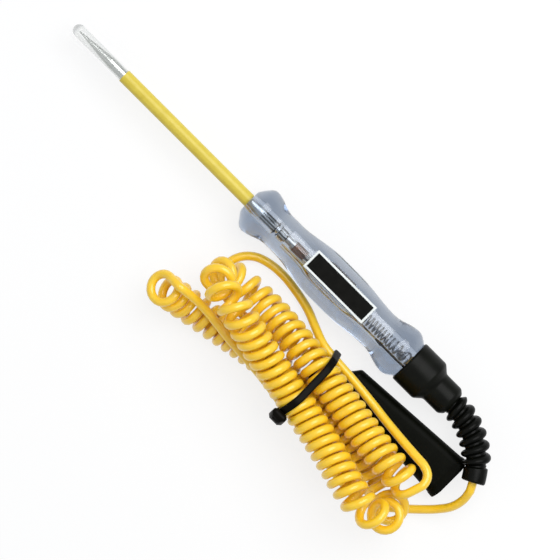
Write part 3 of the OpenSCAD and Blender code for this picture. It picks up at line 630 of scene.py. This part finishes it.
# %% Finishes on CAD pieces
kept = {
    "probe_rod": rod_steel, "probe_sleeve": sleeve_yellow,
    "label_plate": label_pale, "label_panel": label_dark, "lamp_barrel": plated_steel,
    "lamp_front_cap": dull_bronze, "lamp_glass": lamp_glass_finish, "lamp_filament": grey_wire,
    "lamp_rear_cap": plain_brass, "rear_contact": plain_brass, "rear_terminal": plain_brass,
    "clip_fixed_jaw": plated_steel, "clip_moving_jaw": plated_steel, "clip_pin": plated_steel,
    "clip_crimp": plated_steel,
}


def dress(name, material):
    item = nodes[name]
    if not item.material_slots:
        item.data.materials.append(material)
    for holder in item.material_slots:
        holder.material = material


for name, material in kept.items():
    dress(name, material)
print("CAD pieces dressed:", len(kept))

# %% [markdown]
# ## Skins over rings
# Most of the other pieces are skins over a row of rings: a turned grip, a ribbed sleeve, a boot.
# One helper joins rings of equal count into a mesh, closes the ends or the loop, turns the faces to
# look outward, and marks edges that are sharper than an angle, so that the rest shades smoothly.

# %% Ring skin helper
crease = 35


def ring_skin(name, rings, material, body, loop=False, sharp=crease):
    count = len(rings[0])
    places = [tuple(p * MM) for ring in rings for p in ring]
    faces = []
    for i in range(len(rings) if loop else len(rings) - 1):
        a, b = i * count, (i + 1) % len(rings) * count
        for j in range(count):
            k = (j + 1) % count
            faces.append((a + j, a + k, b + k, b + j))
    if not loop:
        last = (len(rings) - 1) * count
        faces += [tuple(reversed(range(count))), tuple(last + j for j in range(count))]
    mesh = bpy.data.meshes.new(name)
    mesh.from_pydata(places, [], faces)
    solid = bmesh.new()
    solid.from_mesh(mesh)
    if solid.calc_volume(signed=True) < 0:
        mesh.flip_normals()
    solid.free()
    mesh.polygons.foreach_set("use_smooth", [True] * len(mesh.polygons))
    mesh.set_sharp_from_angle(angle=math.radians(sharp))
    mesh.materials.append(material)
    piece = bpy.data.objects.new(name, mesh)
    bpy.context.scene.collection.objects.link(piece)
    if body:
        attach(piece, body)
    return piece


print("ring skins: loop for hollow pieces, capped for solid ones")

# %% [markdown]
# ## Rings of turned pieces
# A turned piece is an outline of stations and radii, carried round the tool's axis. Stations are
# measured backward from the grip's front face, as in the CAD source.

# %% Turning helpers
def full_turn(count):
    """Angles of a full turn in equal steps."""
    return [2 * math.pi * k / count for k in range(count)]


def quarter_turn(steps):
    """Angles from 0 to a right angle, both included."""
    return [math.pi / 2 * k / steps for k in range(steps + 1)]


def on_axis(s, r, turn):
    """A place on the tool: s behind the grip's front face, r from the axis, turned about it."""
    return Vector((x_front - s, -r * math.sin(turn), axis_z + r * math.cos(turn)))


def turned(outline, sides):
    """Rings of a turned piece, from the stations and radii of its outline."""
    return [[on_axis(s, r, a) for a in full_turn(sides)] for s, r in outline]


print("front face at x, mm:", x_front)

# %% [markdown]
# ## The clear grip
# The real grip is a clear bar with six flats that was turned to a waisted profile. Its radius is a
# smooth function of the distance from the front, cut back to the nearest flat, so one formula gives
# both the round ends and the flats. The bore for the rod and lamp is part of the same closed skin,
# because a clear piece has to have its real hollow to refract as it does. It is moulded round the
# rod's knob, so it narrows to a neck on both sides of it.

# %% Grip profile
roll = math.radians(8)
flat_dist, flat_from, flat_to, flat_soft = 10.2, 24.0, 85.5, 0.5
grip_len, nose_len, nose_r = 99.0, 6.2, 5.7
rear_round_from, rear_round_len, rear_face_r = 93.5, 5.5, 9.6
grip_rows = [
    (nose_len, 11.7), (18, 8.8), (24, 8.8), (47.5, 11.8), (56, 11.8), (80.5, 9.7),
    (rear_round_from, 12.3),
]


def grip_r(s):
    front_r, rear_r = grip_rows[0][1], grip_rows[-1][1]
    if s < nose_len:
        return nose_r + (front_r - nose_r) * math.sin(math.pi / 2 * s / nose_len)
    for (a, ra), (b, rb) in zip(grip_rows, grip_rows[1:]):
        if s < b:
            return ease(ra, rb, (s - a) / (b - a))
    into = min(1, (s - rear_round_from) / rear_round_len)
    return rear_r - (rear_r - rear_face_r) * (1 - math.cos(math.pi / 2 * into))


def flat_r(s, turn):
    """The grip's radius, with a soft crease where a flat cuts it back."""
    r = grip_r(s)
    if not flat_from < s < flat_to:
        return r
    off = (turn - roll + math.pi / 6) % (math.pi / 3) - math.pi / 6
    flat = flat_dist / math.cos(off)
    return -flat_soft * math.log(math.exp(-r / flat_soft) + math.exp(-flat / flat_soft))


print("grip radius at its middle, mm:", round(grip_r(grip_len / 2), 2))

# %% Grip skin
grip_sides, grip_steps, flat_step = 180, 200, 0.02
stub_len, stub_r, stub_edge = 11.0, 7.5, 0.6
shank_len, knob_len, knob_r, knob_round, neck_r, neck_len = 17.6, 5.8, 2.4, 1.4, 1.4, 0.6
front_bore_r, lamp_bore_r, skin_room = 2.9, 3.4, 0.04
knob_end, stub_end = shank_len + knob_len - skin_room, grip_len + stub_len

stations = [grip_len * k / grip_steps for k in range(grip_steps + 1)]
stations += [flat_to - flat_step, flat_to + flat_step, rear_round_from, nose_len]
rings = [[on_axis(s, flat_r(s, a), a) for a in full_turn(grip_sides)]
         for s in sorted(set(stations))]
stub = [(grip_len, stub_r), (stub_end - stub_edge, stub_r), (stub_end, stub_r - stub_edge)]
knob_arc = [(knob_round * (1 - math.cos(q)), neck_r + skin_room + (knob_r - neck_r) * math.sin(q))
            for q in quarter_turn(8)]
bore = [(stub_end, lamp_bore_r), (knob_end, lamp_bore_r)]
bore += [(knob_end - d, r) for d, r in knob_arc]
bore += [(shank_len + neck_len + d, r) for d, r in reversed(knob_arc)]
bore += [(shank_len, neck_r + skin_room), (shank_len - knob_round, front_bore_r)]
bore += [(0, front_bore_r)]
rings += turned(stub + bore, grip_sides)
grip = ring_skin("clear_grip_turned", rings, clear_grip, None, loop=True)
print("grip faces:", len(grip.data.polygons))

# %% [markdown]
# ## The pocket for the label
# The label is a thin plate let into the top flat. A boolean cut is the natural way to make its
# pocket: the cutter is a box turned with the flats, a little larger than the plate.

# %% Cut the pocket
label_from, label_len, label_w, label_t = 36.8, 35.8, 9.8, 1.1
side_room, floor_room, cutter_rise = 0.15, 0.03, 4
box_faces = [(0, 1, 3, 2), (4, 6, 7, 5), (0, 4, 5, 1), (2, 3, 7, 6), (0, 2, 6, 4), (1, 5, 7, 3)]


def on_flat(x, y, z):
    """A place given square to the top flat, turned with the flats about the axis."""
    return Vector((x, y * math.cos(roll) - z * math.sin(roll),
                   axis_z + y * math.sin(roll) + z * math.cos(roll)))


ends = [x_front - label_from - label_len - side_room, x_front - label_from + side_room]
sides = [-label_w / 2 - side_room, label_w / 2 + side_room]
levels = [flat_dist - label_t - floor_room, flat_dist + cutter_rise]
box = [on_flat(x, y, z) for x in ends for y in sides for z in levels]
cutter_mesh = bpy.data.meshes.new("pocket_cutter")
cutter_mesh.from_pydata([tuple(p * MM) for p in box], [], box_faces)
cutter = bpy.data.objects.new("pocket_cutter", cutter_mesh)
bpy.context.scene.collection.objects.link(cutter)
cut = grip.modifiers.new("label_pocket", "BOOLEAN")
cut.operation = "DIFFERENCE"
cut.solver = "EXACT"
cut.object = cutter
bpy.context.view_layer.update()
depsgraph = bpy.context.evaluated_depsgraph_get()
cut_mesh = bpy.data.meshes.new_from_object(grip.evaluated_get(depsgraph))
grip.modifiers.clear()
grip.data = cut_mesh
bpy.data.objects.remove(cutter)
grip.data.set_sharp_from_angle(angle=math.radians(crease))
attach(grip, "handle")
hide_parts("handle")
print("grip faces after the cut:", len(grip.data.polygons))

# %% [markdown]
# ## The tip cap
# The cap is a dipped vinyl tube with a round closed end. Clear pieces show every facet, so it is
# turned afresh with many sides: the outer wall, the dome, and the bore with a small dome of its
# own.

# %% Tip cap
sleeve_len, tip_gap, tip_sides = 78.0, 0.3, 96
tip_r, tip_len, tip_bore_r, tip_end, bore_dome = 2.85, 30.6, 2.45, 1.6, 1.2
pole_r = 0.02
tip_open = -sleeve_len - tip_gap
dome_from = tip_open - tip_len + tip_r
bore_dome_from = tip_open - tip_len + tip_end + bore_dome
outer, inner = [(tip_open, tip_r)], [(tip_open, tip_bore_r)]
for q in quarter_turn(12):
    outer.append((dome_from - tip_r * math.sin(q), max(pole_r, tip_r * math.cos(q))))
    inner.append((bore_dome_from - bore_dome * math.sin(q), max(pole_r, tip_bore_r * math.cos(q))))
tip_rings = turned(outer[::-1] + inner, tip_sides)
tip_cap = ring_skin("tip_cap_dipped", tip_rings, clear_vinyl, "tip_cap")
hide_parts("tip_cap")
print("tip cap rings:", len(tip_rings))

# %% [markdown]
# ## The contact spring
# Behind the lamp a wound spring presses it forward. It is a plain helix of wire, swept with its
# wire always square to the outward direction. When the grip is unscrewed the lamp moves forward and
# the spring grows longer.

# %% Wound spring
wire_sides = 10


def swept_rings(line, radius, outs):
    rings = []
    for k, place in enumerate(line):
        t = (line[min(k + 1, len(line) - 1)] - line[max(k - 1, 0)]).normalized()
        out = across(outs[k], t)
        side = t.cross(out)
        rings.append([place + (out * math.cos(a) + side * math.sin(a)) * radius
                      for a in full_turn(wire_sides)])
    return rings


spring_from, spring_to, spring_turns, steps_per_turn = 70.5, 97.0, 13, 20
spring_r, wire_r = 2.65, 0.4
spring_steps = spring_turns * steps_per_turn
line, outs = [], []
for k in range(spring_steps + 1):
    a = -2 * math.pi * k / steps_per_turn
    s = spring_from + wire_r + (spring_to - spring_from - 2 * wire_r) * k / spring_steps
    outs.append(Vector((0, math.sin(a), math.cos(a))))
    line.append(Vector((x_front - s, 0, axis_z)) + outs[-1] * spring_r)
spring_rings = swept_rings(line, wire_r, outs)
contact_spring = ring_skin("contact_spring_wound", spring_rings, spring_wire, None)
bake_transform(contact_spring)
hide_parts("contact_spring")
print("spring turns:", spring_turns)

# %% [markdown]
# ## The rear cap
# A moulded black cap screws onto the grip. It is a turned form: a wide collar, a bevel and a
# narrower neck, with the small round edges that a mould leaves. Listing its outline with those
# edges keeps the highlights soft.

# %% Rear cap
def rounded(corners, r, steps=5):
    """The corner points of an outline, each replaced by a small arc."""
    out = [corners[0]]
    for a, b, c in zip(corners, corners[1:], corners[2:]):
        a, b, c = Vector(a), Vector(b), Vector(c)
        cut_a = b + (a - b).normalized() * min(r, (a - b).length / 2)
        cut_c = b + (c - b).normalized() * min(r, (c - b).length / 2)
        for k in range(steps + 1):
            u = k / steps
            out.append(tuple(cut_a * (1 - u) ** 2 + b * 2 * u * (1 - u) + cut_c * u**2))
    return out + [corners[-1]]


cap_from, cap_sides, mould_edge = 99.2, 72, 0.9
collar_to, bevel_to, neck_to, cap_to, cup_to = 12.6, 16.1, 25.1, 27.3, 11.1
cup_r, terminal_hole_r, lead_hole_r = 7.6, 1.52, 2.25
cap_outline = [
    (0, 7.62), (0, 10.6), (collar_to, 10.6), (bevel_to, 7.5), (neck_to, 7.5), (cap_to, 5.6),
    (cap_to, lead_hole_r),
]
cap_hollow = [
    (bevel_to, lead_hole_r), (bevel_to, terminal_hole_r), (cup_to, terminal_hole_r),
    (cup_to, cup_r),
]
outer = rounded([(cap_from + s, r) for s, r in cap_outline], mould_edge)
outer += [(cap_from + s, r) for s, r in cap_hollow]
cap_rings = turned(outer, cap_sides)
rear_cap = ring_skin("rear_cap_moulded", cap_rings, moulded_black, "root", loop=True)
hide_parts("rear_cap")
print("rear cap outline points:", len(outer))

# %% [markdown]
# ## The ribbed strain relief
# The rubber sleeve has a thick rounded rib that winds round it like a screw, so that it bends in a
# wide curve. Its radius depends on the way along and on the angle round it: the rib moves on by one
# pitch in a full turn. Each ring stands upright across the arc.

# %% Strain relief
groove_r, rib_r, collar_r, collar_len, ribs = 4.4, 6.6, 5.4, 7.0, 6
rib_share, rib_roundness, rib_fade = 0.78, 0.6, 1.5
collar_rise, collar_edge, edge_slope = 0.8, 0.6, 0.8
relief_steps, relief_sides = 240, 48
rib_pitch = (relief_len - collar_len) / ribs


def relief_r(s, turn):
    ribbed = ribs * rib_pitch
    if s > ribbed:
        lifted = ease(groove_r, collar_r, min(1, (s - ribbed) / collar_rise))
        return lifted - max(0, s - relief_len + collar_edge) * edge_slope
    u = (s / rib_pitch - turn / (2 * math.pi)) % 1
    crest = max(0, 1 - (abs(2 * u - 1) / rib_share) ** 2) ** rib_roundness
    faded = min(1, s / rib_fade, (ribbed - s) / rib_fade)
    return groove_r + (rib_r - groove_r) * crest * faded


upright = Vector((0, 0, 1))
relief_rings = []
for k in range(relief_steps + 1):
    s = relief_len * k / relief_steps
    a = s / relief_bend_r
    side = Vector((math.sin(a), math.cos(a), 0))
    relief_rings.append([
        relief_at(s) + (upright * math.cos(b) + side * math.sin(b)) * relief_r(s, b)
        for b in full_turn(relief_sides)])
strain_relief = ring_skin("strain_relief_ribbed", relief_rings, soft_black, "root", sharp=70)
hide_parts("strain_relief")
print("ribs:", ribs, "pitch, mm:", round(rib_pitch, 2))

# %% [markdown]
# ## The cable tie
# A nylon tie holds the three runs of curls and both tails. Pulled tight it follows the outline of
# what it holds: for each direction the outermost of the held circles carries the strap. The strap
# is swept along that outline and bows a little to the side on top, as a stiff strap does. The head
# is a small block with rounded edges, and the cut end of the strap just shows in it.

# %% Tie strap
tie_x, tie_w, tie_t, tie_fit = -67.0, 3.5, 1.1, 0.45
strap_bow, strap_steps = 2.2, 240
run_r, tail_r = curl_r + cord_d / 2, cord_d / 2
held = [((y, z), run_r) for x, y, z, pitch in curl_route if x == tie_x]
held += [((y, z), tail_r) for x, y, z in handle_tail_route + clip_tail_route if x == tie_x]
section = [
    (-0.5, 0.3), (-0.45, 0.1), (-0.36, 0), (0.36, 0), (0.45, 0.1), (0.5, 0.3), (0.5, 0.6),
    (0.44, 0.84), (0.3, 0.97), (0, 1), (-0.3, 0.97), (-0.44, 0.84), (-0.5, 0.6),
]
widest = max(y + r for (y, z), r in held)
narrowest = min(y - r for (y, z), r in held)
strap_rings = []
for a in full_turn(strap_steps):
    way = Vector((0, math.cos(a), math.sin(a)))
    (y, z), r = max(held, key=lambda one: one[0][0] * way.y + one[0][1] * way.z + one[1])
    over = 2 * (y + r * way.y - narrowest) / (widest - narrowest) - 1
    shift = strap_bow * (0.5 - (1 - over**2 if way.z > 0 else 0))
    strap_rings.append([
        Vector((tie_x + shift + wide * tie_w, y, z)) + way * (r + tie_fit + deep * tie_t)
        for wide, deep in section])
tie_strap = ring_skin("tie_strap", strap_rings, tie_nylon, "root", loop=True, sharp=40)
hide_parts("cable_tie")
print("the tie holds", len(held), "lengths of cord")

# %% Tie head
head_turn = math.radians(28)
head_side = Vector((1, 0, 0))
head_up = Vector((0, -math.sin(head_turn), math.cos(head_turn)))
head_out = Vector((0, math.cos(head_turn), math.sin(head_turn)))
quadrants = ((1, 1, 0), (-1, 1, 1), (-1, -1, 2), (1, -1, 3))
head_arc, least_r = 4, 0.05


def block(name, centre, size, edge):
    """A nylon block with rounded edges, set along the head's three directions."""
    rings = []
    half = [s / 2 for s in size]
    layers = ((-half[2], edge), (-half[2] + edge, 0), (half[2] - edge, 0), (half[2], edge))
    for lift, shrink in layers:
        ring = []
        r = max(edge - shrink, least_r)
        for cx, cy, start in quadrants:
            for j in range(head_arc):
                a = math.pi / 2 * (start + j / (head_arc - 1))
                x = cx * (half[0] - edge) + math.cos(a) * r
                y = cy * (half[1] - edge) + math.sin(a) * r
                ring.append(centre + head_side * x + head_up * y + head_out * lift)
        rings.append(ring)
    return ring_skin(name, rings, tie_nylon, "root", sharp=50)


head_size, head_h, head_edge = 7.4, 4.4, 1.5
tongue_w, tongue_h, tongue_edge = 1.3, 1.0, 0.3
top_run = Vector((tie_x, *held[1][0]))
head_reach = run_r + tie_fit + tie_t / 2 + head_h / 2
head_mid = top_run + head_out * head_reach + Vector((strap_bow / 4, 0, 0))
tongue_mid = head_mid + head_out * (head_h / 2)
tie_head = block("tie_head", head_mid, (head_size, head_size, head_h), head_edge)
tie_tongue = block("tie_tongue", tongue_mid, (tie_w, tongue_w, tongue_h), tongue_edge)
print("tie head at, mm:", [round(c, 1) for c in head_mid])

# %% [markdown]
# ## The rubber boot
# The clip's boot is a flattened rubber tube, wide and open at the jaws and drawn in to the lead.
# Its rings are rounded rectangles; the inside is a second row of rings, so the mouth shows a real
# wall. The edge of the mouth bows out a little in the middle, as a moulded lip does.

# %% Boot rings
boot_arc = 12
mouth_x, tail_x, wall = -141.5, -79.5, 1.3
mouth_w, tail_w, mouth_h, tail_h, boot_corner = 22.4, 14, 11, 9.4, 4.6


def soft_rectangle(x, width, low, high, r, bow=0.0):
    ring = []
    for sy, sz, start in quadrants:
        for j in range(boot_arc):
            a = math.pi / 2 * (start + j / (boot_arc - 1))
            y = sy * (width / 2 - r) + math.cos(a) * r
            z = (high if sz > 0 else low) - sz * r + math.sin(a) * r
            ring.append(Vector((x + bow * (2 * y / width) ** 2, clip_y + y, z)))
    return ring


def boot_ring(x, inset=0.0, bow=0.0, trim=0.0):
    u = (x - mouth_x) / (tail_x - mouth_x)
    width, high = mouth_w + (tail_w - mouth_w) * u, mouth_h + (tail_h - mouth_h) * u
    return soft_rectangle(x, width - 2 * inset - trim, inset, high - inset - trim / 2,
                          boot_corner - inset, bow)


print("boot, mm:", tail_x - mouth_x, "long,", mouth_w, "wide at the mouth")

# %% Boot
lip_len, lip_trim, body_steps = 6, 0.5, 10
lip_rows = [
    # behind the mouth, inset, bow, trim
    (0, 0.35, 1.0, 0), (0.15, 0.12, 1.0, 0), (0.5, 0, 1.0, 0), (3, 0, 0.6, 0),
    (3.8, 0, 0.5, lip_trim), (lip_len, 0, 0, lip_trim),
]
lead_hole = (4.7, 2.95, 7.65, 2.3)
tail_rows = [
    # place along x, then width, low, high and corner
    (-79.0, 13.6, 0.08, 9.32, 3.9), (-78.4, 12.4, 0.35, 9.2, 3.8), (-76.6, 7.6, 1.7, 8.75, 3.0),
    (-76.1, 6.6, 2.05, 8.5, 2.8), (boot_end_x, 5.8, 2.4, 8.2, 2.6), (boot_end_x, *lead_hole),
]
hole_x, hole_inset, hollow_x, hollow_end_x, hollow_steps = -80.8, 0.6, -84, mouth_x + 4, 6
inner_lip, mouth_bow = ((0.4, 0), (0.05, 0.25)), 1.0

outside = [boot_ring(mouth_x + d, inset, bow, trim) for d, inset, bow, trim in lip_rows]
for k in range(1, body_steps + 1):
    u = k / body_steps
    x = mouth_x + lip_len + (tail_x - mouth_x - lip_len) * k / body_steps
    outside.append(boot_ring(x, trim=lip_trim * (1 - u)))
outside += [soft_rectangle(*row) for row in tail_rows]
inside = [soft_rectangle(hole_x, *lead_hole), boot_ring(hole_x, wall + hole_inset)]
inside.append(boot_ring(hollow_x, wall))
for k in range(1, hollow_steps + 1):
    inside.append(boot_ring(hollow_x + (hollow_end_x - hollow_x) * k / hollow_steps, wall))
inside += [boot_ring(mouth_x + d, wall - thinner, mouth_bow) for d, thinner in inner_lip]
clip_boot = ring_skin("clip_boot_moulded", outside + inside, boot_black, "root", loop=True,
                      sharp=60)
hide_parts("clip_boot")
print("boot rings:", len(outside) + len(inside))

# %% [markdown]
# ## The clip's spring
# A torsion spring sits round the pivot and pushes the two levers apart. It is one wire: a leg, one
# and a half turns and a second leg. One leg stays with the fixed jaw and the other follows the jaw
# that opens.

# %% Torsion spring
coil_r, coil_wire_r, coil_h, coil_turns = 1.7, 0.25, 2.0, 1.5
leg_x, leg_y = 11.0, 2.9
leg_steps, coil_steps = 8, 36
pivot_low = Vector((clip_x, clip_y, clip_z - coil_h / 2))
line = []
for k in range(leg_steps):
    u = k / leg_steps
    line.append(Vector((leg_x * (1 - u), -leg_y * (1 - u) - coil_r * u, coil_wire_r)))
for k in range(coil_steps + 1):
    a = -math.pi / 2 - 2 * math.pi * coil_turns * k / coil_steps
    rise = coil_wire_r + (coil_h - 2 * coil_wire_r) * k / coil_steps
    line.append(Vector((coil_r * math.cos(a), coil_r * math.sin(a), rise)))
for k in range(1, leg_steps + 1):
    u = k / leg_steps
    line.append(Vector((leg_x * u, coil_r + (leg_y - coil_r) * u, coil_h - coil_wire_r)))
line = [pivot_low + place for place in line]
wire_rings = swept_rings(line, coil_wire_r, [upright] * len(line))
clip_spring = ring_skin("clip_spring_wound", wire_rings, spring_wire, None)
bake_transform(clip_spring)
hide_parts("clip_spring")
print("torsion spring points:", len(line))

# %% [markdown]
# ## What the cord is
# The clip in its boot is the fitting on its far end.

# %% [markdown]
# ## Sizes
# The dressed tester has to stay inside the box of the CAD model. Both boxes are printed, so that
# they can be compared.

# %% Print the boxes
bpy.context.view_layer.update()
sizes = {"cad": [list(map(float, c)) for c in cad_box], "visual": [list(map(float, c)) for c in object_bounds()]}
for low_high in sizes.items():
    print(low_high)
